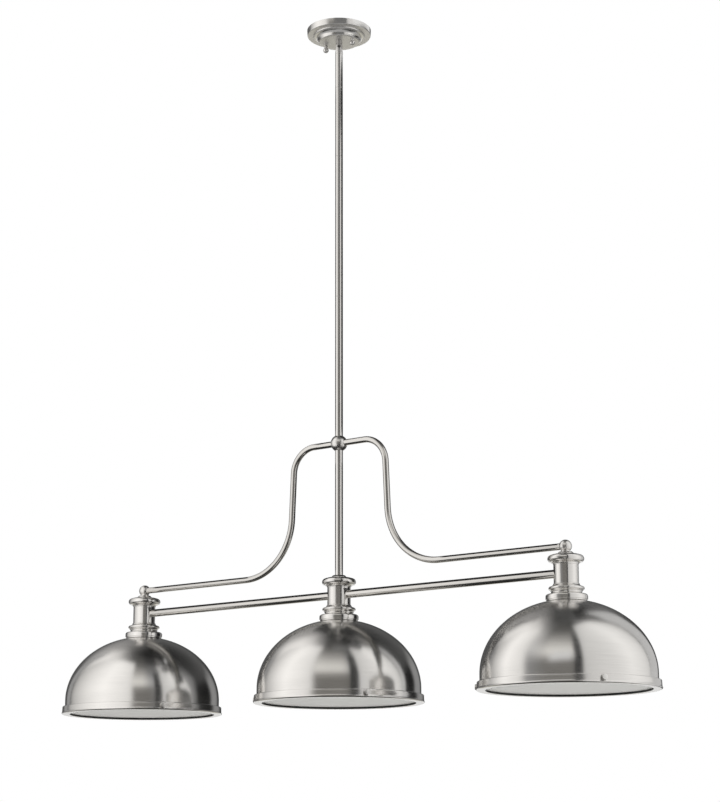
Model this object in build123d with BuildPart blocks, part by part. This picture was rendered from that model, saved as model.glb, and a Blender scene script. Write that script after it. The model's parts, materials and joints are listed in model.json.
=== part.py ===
from build123d import *
import math
import os

os.makedirs("parts", exist_ok=True)

# Three-light billiard pendant. Millimetres, +Z up, origin on the ceiling plane at the
# canopy axis, +X along the bar. Heights named h_* are measured up from the plane of the
# retaining rings' lower edges; z(h) turns them into heights in the part's own frame.

# ---- overall layout -------------------------------------------------------------
drop = 1416.0             # ceiling to the lower edge of the retaining rings
pitch = 520.7             # between neighbouring shade axes
shade_x = {"left": -pitch, "center": 0.0, "right": pitch}

# ---- shade, retaining ring, diffuser ----------------------------------------------
shade_r = 161.8           # outside radius of the dome's straight skirt
shade_b = 135.0           # height of the elliptic dome above the skirt
shade_t = 1.2             # spun sheet
h_skirt = 29.0            # top of the straight skirt
h_shade_edge = 7.2        # lower edge of the dome, hidden in the ring
h_shade_top = 161.0       # flat seat under the fitter
ring_r = 168.25           # outside radius of the ring's flared lower edge
ring_wall_r = 167.2
ring_h = 16.0
ring_t = 1.2
ring_lip_r = 151.5        # inner edge of the ring's lip, seen from below
h_glass = 4.0             # glass rests on the upturned edge of the lip
glass_t = 2.8
glass_r = 160.0
screw_front = {"left": -33.2, "center": -35.0, "right": -38.5}   # turn of each ring's front screw
screw_step = {"front": 0.0, "side": -120.0, "rear": 120.0}
h_screw = 9.5
screw_r = 1.95
screw_head_r = 5.2
screw_tip_r = 162.1       # 0.3 clear of the dome, so that a slack screw lets the ring down

# ---- fitters ------------------------------------------------------------------------
h_lip = 163.6
h_base_top = 193.5
h_spigot_top = 199.0
barrel_r = 23.1
barrel_bore_r = 21.0
h_barrel_top = 228.0
h_cap_top = 252.4
h_bar = 213.5
bar_r = 7.95
bar_t = 1.5
bar_end = 11.0            # how far a bar's end stops short of a fitter's axis

# ---- lampholders and lamps ------------------------------------------------------------
nipple_r = 5.0
nipple_bore_r = 3.6
h_nipple = (144.0, 182.0)
holder_r = 19.5
h_holder = (107.0, 152.0)
bulb_r = 30.0

# ---- rods, arms, balls -------------------------------------------------------------------
rod_r = 7.95
rod_t = 1.6
rod_lengths = {"rod_long_lower": 304.8, "rod_long_upper": 304.8, "rod_medium": 152.4, "rod_short": 76.2}
h_ball = 521.0
ball_r = 17.0
h_end_ball = 263.0
end_ball_r = 12.0
arm_r = 6.35
arm_t = 1.2
arm_corner_top = 113.0    # corner of the arm's centre line at the ball's height
arm_corner_low = 125.0    # and at the end balls' height
arm_bend_top = 52.0
arm_bend_low = 120.0
press = 0.05              # clearance of a tube in the hole that holds it

# ---- canopy, swivel, ceiling hardware --------------------------------------------------------
canopy_r = 67.5
canopy_t = 1.2
canopy_depth = 27.0
canopy_step_r = 54.0
canopy_disc_r = 41.5
stem_r = 6.75
stem_thread_r = 5.0
pin_z = -37.5
pin_r = 3.0
yoke_slot = 6.4
tongue_t = 5.6
knuckle_r = 7.0
yoke_bottom = -54.0
swivel_yaw = 36.9         # how far the pin is turned from square across the bar
pin_recess_r = 4.2
knob_x = 34.925           # half of the canopy studs' 69.85 spacing
stud_r = 2.08
crossbar_l = 108.0
crossbar_w = 20.0
crossbar_t = 2.5
box_screw_x = 44.45       # half of the ceiling box screws' 88.9 spacing
box_slot_l = 11.0
box_slot_w = 5.0


def z(h):
    """Height in the part's frame of a height above the rings' lower edges."""
    return h - drop


def section(cx, base=0.0):
    """Vertical plane through the axis at x = cx: local x is radius, local y is height."""
    return Plane(origin=(cx, 0, base), x_dir=(1, 0, 0), z_dir=(0, -1, 0))


def swivel_plane(offset):
    """Vertical plane square to the swivel pin: local x runs across the pin, local y is height."""
    a = math.radians(swivel_yaw)
    return Plane(origin=(0, 0, 0), x_dir=(math.cos(a), math.sin(a), 0), z_dir=(math.sin(a), -math.cos(a), 0)).offset(offset)


def upright(cx):
    return Axis((cx, 0, 0), (0, 0, 1))


def save(piece, name):
    piece.part.label = name
    export_step(piece.part, "parts/" + name + ".step")
    solids = piece.part.solids()
    print(name, len(solids), round(sum(s.volume for s in solids)))


# ================================ ceiling hardware ================================

# Steel crossbar against the ceiling box: slots for the box screws, tapped holes for the
# canopy studs, a centre hole for the leads and one for the earth screw.
with BuildPart() as crossbar:
    with BuildSketch(Plane.XY.offset(-crossbar_t)):
        RectangleRounded(crossbar_l, crossbar_w, 4)
        with Locations((-box_screw_x, 0), (box_screw_x, 0)):
            SlotOverall(box_slot_l, box_slot_w, mode=Mode.SUBTRACT)
        with Locations((-knob_x, 0), (knob_x, 0)):
            Circle(stud_r + 0.02, mode=Mode.SUBTRACT)
        Circle(6.5, mode=Mode.SUBTRACT)
        with Locations((17, 0)):
            Circle(1.9, mode=Mode.SUBTRACT)
    extrude(amount=crossbar_t)
save(crossbar, "crossbar")

# Two headless studs that carry the canopy.
with BuildPart() as crossbar_studs:
    with BuildSketch(Plane.XY):
        with Locations((-knob_x, 0), (knob_x, 0)):
            Circle(stud_r)
    extrude(amount=-35.5)
    chamfer(crossbar_studs.edges().group_by(Axis.Z)[0], 0.5)
save(crossbar_studs, "crossbar_studs")

# Earth screw, hexagon head below the crossbar.
with BuildPart() as ground_screw:
    with BuildSketch(Plane.XY.offset(-crossbar_t)):
        with Locations((17, 0)):
            RegularPolygon(4.2, 6)
    extrude(amount=-3.2)
    with BuildSketch(Plane.XY.offset(-crossbar_t)):
        with Locations((17, 0)):
            Circle(1.85)
    extrude(amount=crossbar_t)
    with BuildSketch(Plane.XY.offset(-crossbar_t - 3.2)):
        with Locations((17, 0)):
            Rectangle(9, 1.0)
    extrude(amount=1.0, mode=Mode.SUBTRACT)
save(ground_screw, "ground_screw")

# Spun canopy: rim, flat shoulder, rolled step, cove and flat disc.
with BuildPart() as canopy:
    with BuildSketch(section(0)):
        with BuildLine():
            Polyline(
                (canopy_r - canopy_t, 0),
                (canopy_r, 0),
                (canopy_r, -2.0),
                (canopy_r - 0.6, -11.6),
            )
            RadiusArc((canopy_r - 0.6, -11.6), (canopy_r - 2.1, -13.0), 1.45)
            Line((canopy_r - 2.1, -13.0), (canopy_step_r + 0.6, -13.0))
            ThreePointArc(
                (canopy_step_r + 0.6, -13.0),
                (canopy_step_r + 0.2, -15.4),
                (canopy_step_r - 1.9, -16.4),
            )
            Line((canopy_step_r - 1.9, -16.4), (canopy_step_r - 3.4, -16.4))
            ThreePointArc(
                (canopy_step_r - 3.4, -16.4),
                (canopy_disc_r + 3.1, -19.4),
                (canopy_disc_r + 0.8, -25.6),
            )
            ThreePointArc(
                (canopy_disc_r + 0.8, -25.6),
                (canopy_disc_r + 0.25, -26.6),
                (canopy_disc_r - 0.8, -canopy_depth),
            )
            Polyline(
                (canopy_disc_r - 0.8, -canopy_depth),
                (stem_thread_r + 0.06, -canopy_depth),
                (stem_thread_r + 0.06, -canopy_depth + canopy_t),
                (canopy_disc_r - 1.2, -canopy_depth + canopy_t),
            )
            ThreePointArc(
                (canopy_disc_r - 1.2, -canopy_depth + canopy_t),
                (canopy_disc_r + 2.0, -18.6),
                (canopy_step_r - 3.6, -15.2),
            )
            Polyline(
                (canopy_step_r - 3.6, -15.2),
                (canopy_step_r - 1.6, -15.2),
                (canopy_step_r - 0.8, -11.8),
                (canopy_r - 2.0, -11.8),
                (canopy_r - canopy_t, -2.0),
                (canopy_r - canopy_t, 0),
            )
        make_face()
    revolve(axis=upright(0))
    with BuildSketch(Plane.XY.offset(-canopy_depth - 1)):
        with Locations((-knob_x, 0), (knob_x, 0)):
            Circle(2.6)
    extrude(amount=6, mode=Mode.SUBTRACT)
save(canopy, "canopy")

# Ball knobs that draw the canopy up to the ceiling: waisted neck, ball, blind bore.
for side, sx in (("left", -knob_x), ("right", knob_x)):
    with BuildPart() as canopy_knob:
        with BuildSketch(section(sx)):
            with BuildLine():
                Polyline(
                    (0, -27.1 - 9.5),
                    (stud_r + 0.07, -27.1 - 8.7),
                    (stud_r + 0.07, -27.1),
                    (3.9, -27.1),
                    (3.9, -28.0),
                    (2.95, -28.6),
                    (2.95, -31.0),
                )
                ball = CenterArc((0, -35.994), 5.8, -90, 149.43)
                Line((2.95, -31.0), ball @ 1)
                Line((0, -41.794), (0, -27.1 - 9.5))
            make_face()
        revolve(axis=upright(sx))
    save(canopy_knob, "canopy_knob_" + side)

# ================================ swivel ================================

# Stem: thread through the canopy, shoulder below it, and a tongue for the pin.
with BuildPart() as swivel_stem:
    with BuildSketch(Plane.XY.offset(-29.9)):
        Circle(stem_r)
    extrude(amount=2.8)
    with BuildSketch(Plane.XY.offset(-27.1)):
        Circle(stem_thread_r)
    extrude(amount=11.6)
    chamfer(swivel_stem.edges().group_by(Axis.Z)[-1], 0.7)
    with BuildSketch(swivel_plane(-tongue_t / 2)):
        with Locations((0, pin_z)):
            Circle(6.6)
        with Locations((0, (pin_z - 29.9) / 2)):
            Rectangle(13.2, -29.9 - pin_z)
        with Locations((0, pin_z)):
            Circle(pin_r + 0.06, mode=Mode.SUBTRACT)
    extrude(amount=tongue_t)
save(swivel_stem, "swivel_stem")

with BuildPart() as swivel_locknut:
    with BuildSketch(Plane.XY.offset(-canopy_depth + canopy_t + 0.1)):
        RegularPolygon(8.1, 6)
        Circle(stem_thread_r + 0.02, mode=Mode.SUBTRACT)
    extrude(amount=5)
save(swivel_locknut, "swivel_locknut")

# Yoke on the rod's top: round shank tapered to a knuckle, slot for the tongue, pin hole
# with a counterbore each side, spigot into the rod.
with BuildPart() as swivel_yoke:
    with BuildSketch(Plane.XY.offset(yoke_bottom)):
        Circle(rod_r)
    extrude(amount=pin_z + 8 - yoke_bottom)
    with BuildSketch(swivel_plane(-20)):
        with BuildLine():
            Polyline(
                (-knuckle_r, pin_z),
                (-knuckle_r, -44.5),
                (-rod_r - 0.4, -51.0),
                (-rod_r - 0.4, yoke_bottom - 1),
                (rod_r + 0.4, yoke_bottom - 1),
                (rod_r + 0.4, -51.0),
                (knuckle_r, -44.5),
                (knuckle_r, pin_z),
            )
            ThreePointArc((knuckle_r, pin_z), (0, pin_z + knuckle_r), (-knuckle_r, pin_z))
        make_face()
    extrude(amount=40, mode=Mode.INTERSECT)
    with BuildSketch(swivel_plane(-yoke_slot / 2)):
        with Locations((0, pin_z + 2)):
            Rectangle(24, 20)
    extrude(amount=yoke_slot, mode=Mode.SUBTRACT)
    with BuildSketch(swivel_plane(-20)):
        with Locations((0, pin_z)):
            Circle(pin_r + 0.02)
    extrude(amount=40, mode=Mode.SUBTRACT)
    with BuildSketch(swivel_plane(5.2)):
        with Locations((0, pin_z)):
            Circle(pin_recess_r)
    extrude(amount=5, mode=Mode.SUBTRACT)
    with BuildSketch(swivel_plane(-5.2)):
        with Locations((0, pin_z)):
            Circle(pin_recess_r)
    extrude(amount=-5, mode=Mode.SUBTRACT)
    with BuildSketch(Plane.XY.offset(yoke_bottom)):
        Circle(rod_r - rod_t - 0.02)
    extrude(amount=-14)
    with BuildSketch(Plane.XY.offset(yoke_bottom - 14)):
        Circle(3.2)
    extrude(amount=-(yoke_bottom - 14) + pin_z - 8, mode=Mode.SUBTRACT)
save(swivel_yoke, "swivel_yoke")

with BuildPart() as swivel_pin:
    with BuildSketch(swivel_plane(-5.7)):
        with Locations((0, pin_z)):
            Circle(pin_r)
    extrude(amount=11.4)
    chamfer(swivel_pin.edges().filter_by(GeomType.CIRCLE), 0.4)
save(swivel_pin, "swivel_pin")

# ================================ rods ================================

rod_bore = rod_r - rod_t
joint_heights = []
foot = yoke_bottom - sum(rod_lengths.values())
joint_heights.append(foot)
for name, length in rod_lengths.items():
    with BuildPart() as rod_section:
        with BuildSketch(Plane.XY.offset(foot)):
            Circle(rod_r)
            Circle(rod_bore, mode=Mode.SUBTRACT)
        extrude(amount=length)
        rims = rod_section.edges().filter_by(GeomType.CIRCLE)
        chamfer(rims.filter_by(lambda e: abs(e.radius - rod_r) < 0.01), 0.25)
    save(rod_section, name)
    foot += length
    joint_heights.append(foot)
joint_heights.pop()

# Threaded couplers inside the rods, one across each joint.
with BuildPart() as rod_couplers:
    for h in joint_heights:
        with BuildSketch(Plane.XY.offset(h - 16)):
            Circle(rod_bore - 0.02)
            Circle(4.2, mode=Mode.SUBTRACT)
        extrude(amount=32)
save(rod_couplers, "rod_couplers")

# Ball on the rod that carries both arms.
with BuildPart() as center_ball:
    with Locations((0, 0, z(h_ball))):
        Sphere(ball_r)
        Cylinder(rod_r + press, 60, mode=Mode.SUBTRACT)
    with BuildSketch(Plane.YZ.offset(-30)):
        with Locations((0, z(h_ball))):
            Circle(arm_r + press)
    extrude(amount=60, mode=Mode.SUBTRACT)
save(center_ball, "center_ball")

# Lower rod from the ball into the middle fitter.
lower_top = joint_heights[0] - 6.0
with BuildPart() as lower_rod:
    with BuildSketch(Plane.XY.offset(z(226.0))):
        Circle(rod_r)
        Circle(rod_bore, mode=Mode.SUBTRACT)
    extrude(amount=lower_top - z(226.0))
save(lower_rod, "lower_rod")

# Bent arms: out of the ball, down beside the rod, and out to the end balls.
for side, s in (("left", -1), ("right", 1)):
    with BuildPart() as arm:
        with BuildLine(Plane.XZ) as arm_path:
            FilletPolyline(
                (s * 8.7, z(h_ball)),
                (s * arm_corner_top, z(h_ball)),
                (s * arm_corner_low, z(h_end_ball)),
                (s * (pitch - 2.5), z(h_end_ball)),
                radius=[arm_bend_top, arm_bend_low],
            )
        with BuildSketch(Plane(origin=(s * 8.7, 0, z(h_ball)), x_dir=(0, 1, 0), z_dir=(s, 0, 0))):
            Circle(arm_r)
            Circle(arm_r - arm_t, mode=Mode.SUBTRACT)
        sweep(path=arm_path.line)
    run = sum(e.length for e in arm_path.edges())
    print("arm length", round(run, 1), "expected volume", round(run * math.pi * (arm_r**2 - (arm_r - arm_t) ** 2)))
    save(arm, "arm_" + side)

# End balls: neck on the fitter's collar, stud down into it, blind hole for the arm.
for side, s in (("left", -1), ("right", 1)):
    cx = s * pitch
    with BuildPart() as end_ball:
        with Locations((cx, 0, z(h_end_ball))):
            Sphere(end_ball_r)
        with BuildSketch(Plane.XY.offset(z(h_cap_top))):
            with Locations((cx, 0)):
                Circle(20.0)
        extrude(amount=-10.0, mode=Mode.SUBTRACT)
        with BuildSketch(Plane.XY.offset(z(h_cap_top))):
            with Locations((cx, 0)):
                Circle(8.5)
        extrude(amount=4.0)
        with BuildSketch(Plane.XY.offset(z(232.0))):
            with Locations((cx, 0)):
                Circle(3.0)
        extrude(amount=h_cap_top - 232.0)
        with BuildSketch(Plane(origin=(cx - s * 2.0, 0, z(h_end_ball)), x_dir=(0, 1, 0), z_dir=(-s, 0, 0))):
            Circle(arm_r + press)
        extrude(amount=30, mode=Mode.SUBTRACT)
    save(end_ball, "end_ball_" + side)

# ================================ bars ================================

for side, s in (("left", -1), ("right", 1)):
    with BuildPart() as bar:
        with BuildSketch(Plane(origin=(s * bar_end, 0, z(h_bar)), x_dir=(0, 1, 0), z_dir=(s, 0, 0))):
            Circle(bar_r)
            Circle(bar_r - bar_t, mode=Mode.SUBTRACT)
        extrude(amount=pitch - 2 * bar_end)
    save(bar, "bar_" + side)

# ================================ one light, three times ================================

for side, cx in shade_x.items():
    # Cap: spigot into the barrel, cove, rounded flange, collar.
    bore = rod_r + press if side == "center" else 3.0 + press
    with BuildPart() as fitter_cap:
        with BuildSketch(section(cx, z(0))):
            with BuildLine():
                Polyline((18.0, 223.5), (barrel_bore_r - 0.02, 223.5), (barrel_bore_r - 0.02, h_barrel_top),
                         (barrel_r + 0.5, h_barrel_top), (barrel_r + 0.5, 229.2))
                ThreePointArc((barrel_r + 0.5, 229.2), (25.6, 232.0), (29.6, 233.0))
                ThreePointArc((29.6, 233.0), (33.6, 238.0), (28.6, 245.9))
                Line((28.6, 245.9), (24.0, 247.2))
                Polyline((24.0, 247.2), (15.6, 247.6), (15.6, 249.0), (12.6, h_cap_top - 0.4),
                         (12.2, h_cap_top), (bore, h_cap_top), (bore, 241.0), (18.0, 241.0), (18.0, 223.5))
            make_face()
        revolve(axis=upright(cx))
    save(fitter_cap, "fitter_cap_" + side)

    # Barrel: tube with holes where the bars enter.
    with BuildPart() as fitter_barrel:
        with BuildSketch(Plane.XY.offset(z(h_base_top))):
            with Locations((cx, 0)):
                Circle(barrel_r)
                Circle(barrel_bore_r, mode=Mode.SUBTRACT)
        extrude(amount=h_barrel_top - h_base_top)
        directions = {"left": [1], "center": [-1, 1], "right": [-1]}[side]
        for d in directions:
            with BuildSketch(Plane(origin=(cx, 0, z(h_bar)), x_dir=(0, 1, 0), z_dir=(d, 0, 0))):
                Circle(bar_r + press)
            extrude(amount=40, mode=Mode.SUBTRACT)
    save(fitter_barrel, "fitter_barrel_" + side)

    # Base: lip on the shade, base ring, waist, bead, step, and a spigot into the barrel.
    with BuildPart() as fitter_base:
        with BuildSketch(section(cx, z(0))):
            with BuildLine():
                Polyline((30.5, h_shade_top), (36.9, h_shade_top), (37.4, h_shade_top + 0.5),
                         (37.4, h_lip), (38.2, h_lip))
                ThreePointArc((38.2, h_lip), (38.65, h_lip + 0.2), (38.8, h_lip + 0.7))
                Line((38.8, h_lip + 0.7), (38.8, 169.4))
                ThreePointArc((38.8, 169.4), (38.0, 172.2), (35.2, 173.8))
                ThreePointArc((35.2, 173.8), (30.2, 174.5), (28.2, 176.4))
                ThreePointArc((28.2, 176.4), (28.7, 178.6), (30.8, 181.4))
                ThreePointArc((30.8, 181.4), (33.0, 184.8), (31.0, 187.6))
                ThreePointArc((31.0, 187.6), (26.5, 189.5), (24.4, 191.8))
                Polyline((24.4, 191.8), (24.4, h_base_top - 0.5), (23.9, h_base_top), (barrel_bore_r - 0.02, h_base_top),
                         (barrel_bore_r - 0.02, h_spigot_top), (18.0, h_spigot_top), (18.0, 187.0), (22.0, 183.0),
                         (22.0, 169.0), (nipple_r + press, 169.0), (nipple_r + press, 165.0), (30.5, 165.0),
                         (30.5, h_shade_top))
            make_face()
        revolve(axis=upright(cx))
    save(fitter_base, "fitter_base_" + side)

    # Shade: spun dome with a straight skirt, a flat seat and a hole for the nipple.
    out_end = math.degrees(math.asin((h_shade_top - h_skirt) / shade_b))
    in_end = math.degrees(math.asin((h_shade_top - shade_t - h_skirt) / (shade_b - shade_t)))
    with BuildPart() as shade:
        with BuildSketch(section(cx, z(0))):
            with BuildLine():
                Line((shade_r, h_shade_edge), (shade_r, h_skirt))
                outer = EllipticalCenterArc((0, h_skirt), shade_r, shade_b, 0, arc_size=out_end)
                inner = EllipticalCenterArc((0, h_skirt), shade_r - shade_t, shade_b - shade_t, 0, arc_size=in_end)
                Polyline(outer @ 1, (nipple_r + 0.2, h_shade_top), (nipple_r + 0.2, h_shade_top - shade_t), inner @ 1)
                Polyline((shade_r - shade_t, h_skirt), (shade_r - shade_t, h_shade_edge), (shade_r, h_shade_edge))
            make_face()
        revolve(axis=upright(cx))
    save(shade, "shade_" + side)

    # Lampholder: moulded body, open below.
    with BuildPart() as lampholder:
        with BuildSketch(section(cx, z(0))):
            with BuildLine():
                Polyline((14.0, 107.0), (18.7, 107.0), (holder_r, 107.8), (holder_r, 138.0), (16.5, 142.0),
                         (12.0, 143.5), (12.0, 152.0), (nipple_r + press, 152.0), (nipple_r + press, 143.0),
                         (9.0, 143.0), (9.0, 140.0), (14.0, 140.0), (14.0, 107.0))
            make_face()
        revolve(axis=upright(cx))
    save(lampholder, "lampholder_" + side)

    # Lamp: screw cap with its contact, and the glass bulb.
    with BuildPart() as bulb:
        with BuildSketch(section(cx, z(0))):
            with BuildLine():
                Polyline((0, 110.0), (12.6, 110.0), (13.0, 111.0), (13.0, 132.0), (9.0, 135.5), (5.0, 136.5),
                         (5.0, 138.5), (0, 139.0), (0, 110.0))
            make_face()
        revolve(axis=upright(cx))
        with BuildSketch(section(cx, z(0))):
            with BuildLine():
                Polyline((11.8, 109.8), (12.7, 109.8), (13.6, 103.0))
                globe = CenterArc((0, 58.6), bulb_r, -90, 117)
                hollow = CenterArc((0, 58.6), bulb_r - 0.8, -90, 117)
                ThreePointArc((13.6, 103.0), (18.2, 87.6), globe @ 1)
                Line(globe @ 0, hollow @ 0)
                ThreePointArc(hollow @ 1, (17.4, 87.3), (12.7, 103.0))
                Line((12.7, 103.0), (11.8, 109.8))
            make_face()
        revolve(axis=upright(cx))
    save(bulb, "bulb_" + side)

    # Retaining ring: flared band, top flange round the dome, lip with an upturned edge
    # that the glass rests on, and three holes for the thumbscrews.
    with BuildPart() as ring:
        with BuildSketch(section(cx, z(0))):
            with BuildLine():
                Polyline((162.5, ring_h - ring_t), (162.5, ring_h), (165.3, ring_h))
                ThreePointArc((165.3, ring_h), (166.4, ring_h - 0.5), (166.9, ring_h - 1.6))
                Line((166.9, ring_h - 1.6), (ring_wall_r, 5.2))
                ThreePointArc((ring_wall_r, 5.2), (167.5, 3.9), (ring_r, 2.6))
                ThreePointArc((ring_r, 2.6), (167.49, 0.76), (165.65, 0))
                Line((165.65, 0), (152.1, 0))
                ThreePointArc((152.1, 0), (151.68, 0.18), (ring_lip_r, 0.6))
                Polyline((ring_lip_r, 0.6), (ring_lip_r, h_glass), (ring_lip_r + ring_t, h_glass),
                         (ring_lip_r + ring_t, ring_t), (166.4, ring_t), (ring_wall_r - ring_t, 5.2),
                         (166.9 - ring_t, ring_h - 1.8), (165.1, ring_h - ring_t), (162.5, ring_h - ring_t))
            make_face()
        revolve(axis=upright(cx))
        for step in screw_step.values():
            angle = screw_front[side] + step
            ax, ay = math.cos(math.radians(angle)), math.sin(math.radians(angle))
            with BuildSketch(Plane(origin=(cx + 164.5 * ax, 164.5 * ay, z(h_screw)), x_dir=(-ay, ax, 0), z_dir=(ax, ay, 0))):
                Circle(screw_r + 0.05)
            extrude(amount=6, mode=Mode.SUBTRACT)
    save(ring, "retaining_ring_" + side)

    # Diffuser: flat opal glass with ground edges.
    with BuildPart() as diffuser:
        with BuildSketch(Plane.XY.offset(z(h_glass))):
            with Locations((cx, 0)):
                Circle(glass_r)
        extrude(amount=glass_t)
        chamfer(diffuser.edges().filter_by(GeomType.CIRCLE), 0.5)
    save(diffuser, "diffuser_" + side)

    # Thumbscrews through the ring: knurled head with a domed face, plain shank.
    for place, step in screw_step.items():
        angle = screw_front[side] + step
        ax, ay = math.cos(math.radians(angle)), math.sin(math.radians(angle))

        def radial(r):
            return Plane(origin=(cx + r * ax, r * ay, z(h_screw)), x_dir=(-ay, ax, 0), z_dir=(ax, ay, 0))

        with BuildPart() as thumbscrew:
            with BuildSketch(Plane(origin=(cx, 0, z(h_screw)), x_dir=(0, 0, 1), z_dir=(-ay, ax, 0))):
                with BuildLine():
                    crown = CenterArc((0, 149.6), 24.0, 78.95, 11.05)
                    Polyline((0, screw_tip_r), (screw_r, screw_tip_r), (screw_r, 167.5), (screw_head_r, 167.5), (screw_head_r, 172.5))
                    ThreePointArc((screw_head_r, 172.5), (5.03, 172.96), crown @ 0)
                    Line(crown @ 1, (0, screw_tip_r))
                make_face()
            revolve(axis=Axis((cx, 0, z(h_screw)), (ax, ay, 0)))
            with BuildSketch(radial(167.0)):
                with PolarLocations(screw_head_r + 0.15, 16):
                    Circle(0.5)
            extrude(amount=5.3, mode=Mode.SUBTRACT)
        save(thumbscrew, "thumbscrew_" + side + "_" + place)

# Threaded nipples through the fitter bases and shades.
with BuildPart() as socket_nipples:
    with BuildSketch(Plane.XY.offset(z(h_nipple[0]))):
        with Locations(*[(cx, 0) for cx in shade_x.values()]):
            Circle(nipple_r)
        with Locations(*[(cx, 0) for cx in shade_x.values()]):
            Circle(nipple_bore_r, mode=Mode.SUBTRACT)
    extrude(amount=h_nipple[1] - h_nipple[0])
save(socket_nipples, "socket_nipples")

# Locknuts on the nipples: one inside each fitter base, one under each shade.
with BuildPart() as socket_locknuts:
    for h in (169.0, h_shade_top - shade_t - 5.0):
        with BuildSketch(Plane.XY.offset(z(h))):
            with Locations(*[(cx, 0) for cx in shade_x.values()]):
                RegularPolygon(9.2, 6)
            with Locations(*[(cx, 0) for cx in shade_x.values()]):
                Circle(nipple_r + 0.02, mode=Mode.SUBTRACT)
        extrude(amount=5.0)
save(socket_locknuts, "socket_locknuts")

# Screw shells inside the lampholders.
with BuildPart() as screw_shells:
    with BuildSketch(Plane.XY.offset(z(111.0))):
        with Locations(*[(cx, 0) for cx in shade_x.values()]):
            Circle(13.98)
        with Locations(*[(cx, 0) for cx in shade_x.values()]):
            Circle(13.3, mode=Mode.SUBTRACT)
    extrude(amount=28.5)
save(screw_shells, "screw_shells")
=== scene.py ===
import json
import math

import bpy
from mathutils import Matrix, Vector

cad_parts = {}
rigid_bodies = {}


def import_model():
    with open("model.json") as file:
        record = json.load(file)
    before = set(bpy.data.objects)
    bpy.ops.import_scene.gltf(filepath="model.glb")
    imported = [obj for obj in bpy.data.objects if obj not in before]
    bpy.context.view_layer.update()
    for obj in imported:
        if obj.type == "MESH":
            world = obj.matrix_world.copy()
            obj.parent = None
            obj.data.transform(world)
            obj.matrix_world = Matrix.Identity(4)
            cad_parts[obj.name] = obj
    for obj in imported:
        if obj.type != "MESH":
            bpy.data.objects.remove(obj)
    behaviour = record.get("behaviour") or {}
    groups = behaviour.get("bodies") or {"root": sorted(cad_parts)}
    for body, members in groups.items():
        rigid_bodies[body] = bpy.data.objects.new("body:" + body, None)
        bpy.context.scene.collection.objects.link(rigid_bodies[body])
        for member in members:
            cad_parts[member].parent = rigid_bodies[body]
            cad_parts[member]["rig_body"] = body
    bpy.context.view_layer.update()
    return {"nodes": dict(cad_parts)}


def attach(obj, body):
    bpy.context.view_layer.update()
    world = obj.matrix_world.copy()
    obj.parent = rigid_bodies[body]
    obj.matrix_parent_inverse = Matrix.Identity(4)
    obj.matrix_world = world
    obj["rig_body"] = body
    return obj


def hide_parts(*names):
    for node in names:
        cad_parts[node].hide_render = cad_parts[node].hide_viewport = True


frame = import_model()
scene = bpy.context.scene
nodes = frame["nodes"]

# ------------------------------------------------------------------ dimensions (mm)
DROP = 1416.0
PITCH = 520.7
LIGHTS = {"left": -PITCH, "center": 0.0, "right": PITCH}
SCREWS = ("front", "side", "rear")
MM = 0.001


# ------------------------------------------------------------------ node helpers
def new_material(name):
    m = bpy.data.materials.new(name)
    m.use_nodes = True
    m.node_tree.nodes.clear()
    return m, m.node_tree


def add(nt, kind, inputs=None, **props):
    n = nt.nodes.new(kind)
    for k, v in props.items():
        setattr(n, k, v)
    for k, v in (inputs or {}).items():
        if isinstance(v, bpy.types.NodeSocket):
            nt.links.new(v, n.inputs[k])
        else:
            n.inputs[k].default_value = v
    return n


def math_node(nt, op, a, b=None, c=None):
    n = nt.nodes.new("ShaderNodeMath")
    n.operation = op
    for i, v in enumerate((a, b, c)):
        if v is None:
            continue
        if isinstance(v, bpy.types.NodeSocket):
            nt.links.new(v, n.inputs[i])
        else:
            n.inputs[i].default_value = v
    return n.outputs[0]


def ramp(nt, fac, stops, interpolation="LINEAR"):
    n = nt.nodes.new("ShaderNodeValToRGB")
    n.color_ramp.interpolation = interpolation
    el = n.color_ramp.elements
    while len(el) < len(stops):
        el.new(0.5)
    for e, (p, c) in zip(el, stops):
        e.position = p
        e.color = (c, c, c, 1.0) if isinstance(c, (int, float)) else (*c, 1.0)
    nt.links.new(fac, n.inputs[0])
    return n.outputs[0]


def around(nt, turns_k, along_k):
    """Seamless coordinates for a turned or drawn surface: u runs round the axis, v along the profile in metres."""
    uv = add(nt, "ShaderNodeUVMap", uv_map="UVMap").outputs[0]
    sep = add(nt, "ShaderNodeSeparateXYZ", {0: uv})
    a = math_node(nt, "MULTIPLY", sep.outputs[0], 2 * math.pi)
    x = math_node(nt, "MULTIPLY", math_node(nt, "COSINE", a), turns_k)
    y = math_node(nt, "MULTIPLY", math_node(nt, "SINE", a), turns_k)
    z = math_node(nt, "MULTIPLY", sep.outputs[1], along_k)
    return add(nt, "ShaderNodeCombineXYZ", {0: x, 1: y, 2: z}).outputs[0]


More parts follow.
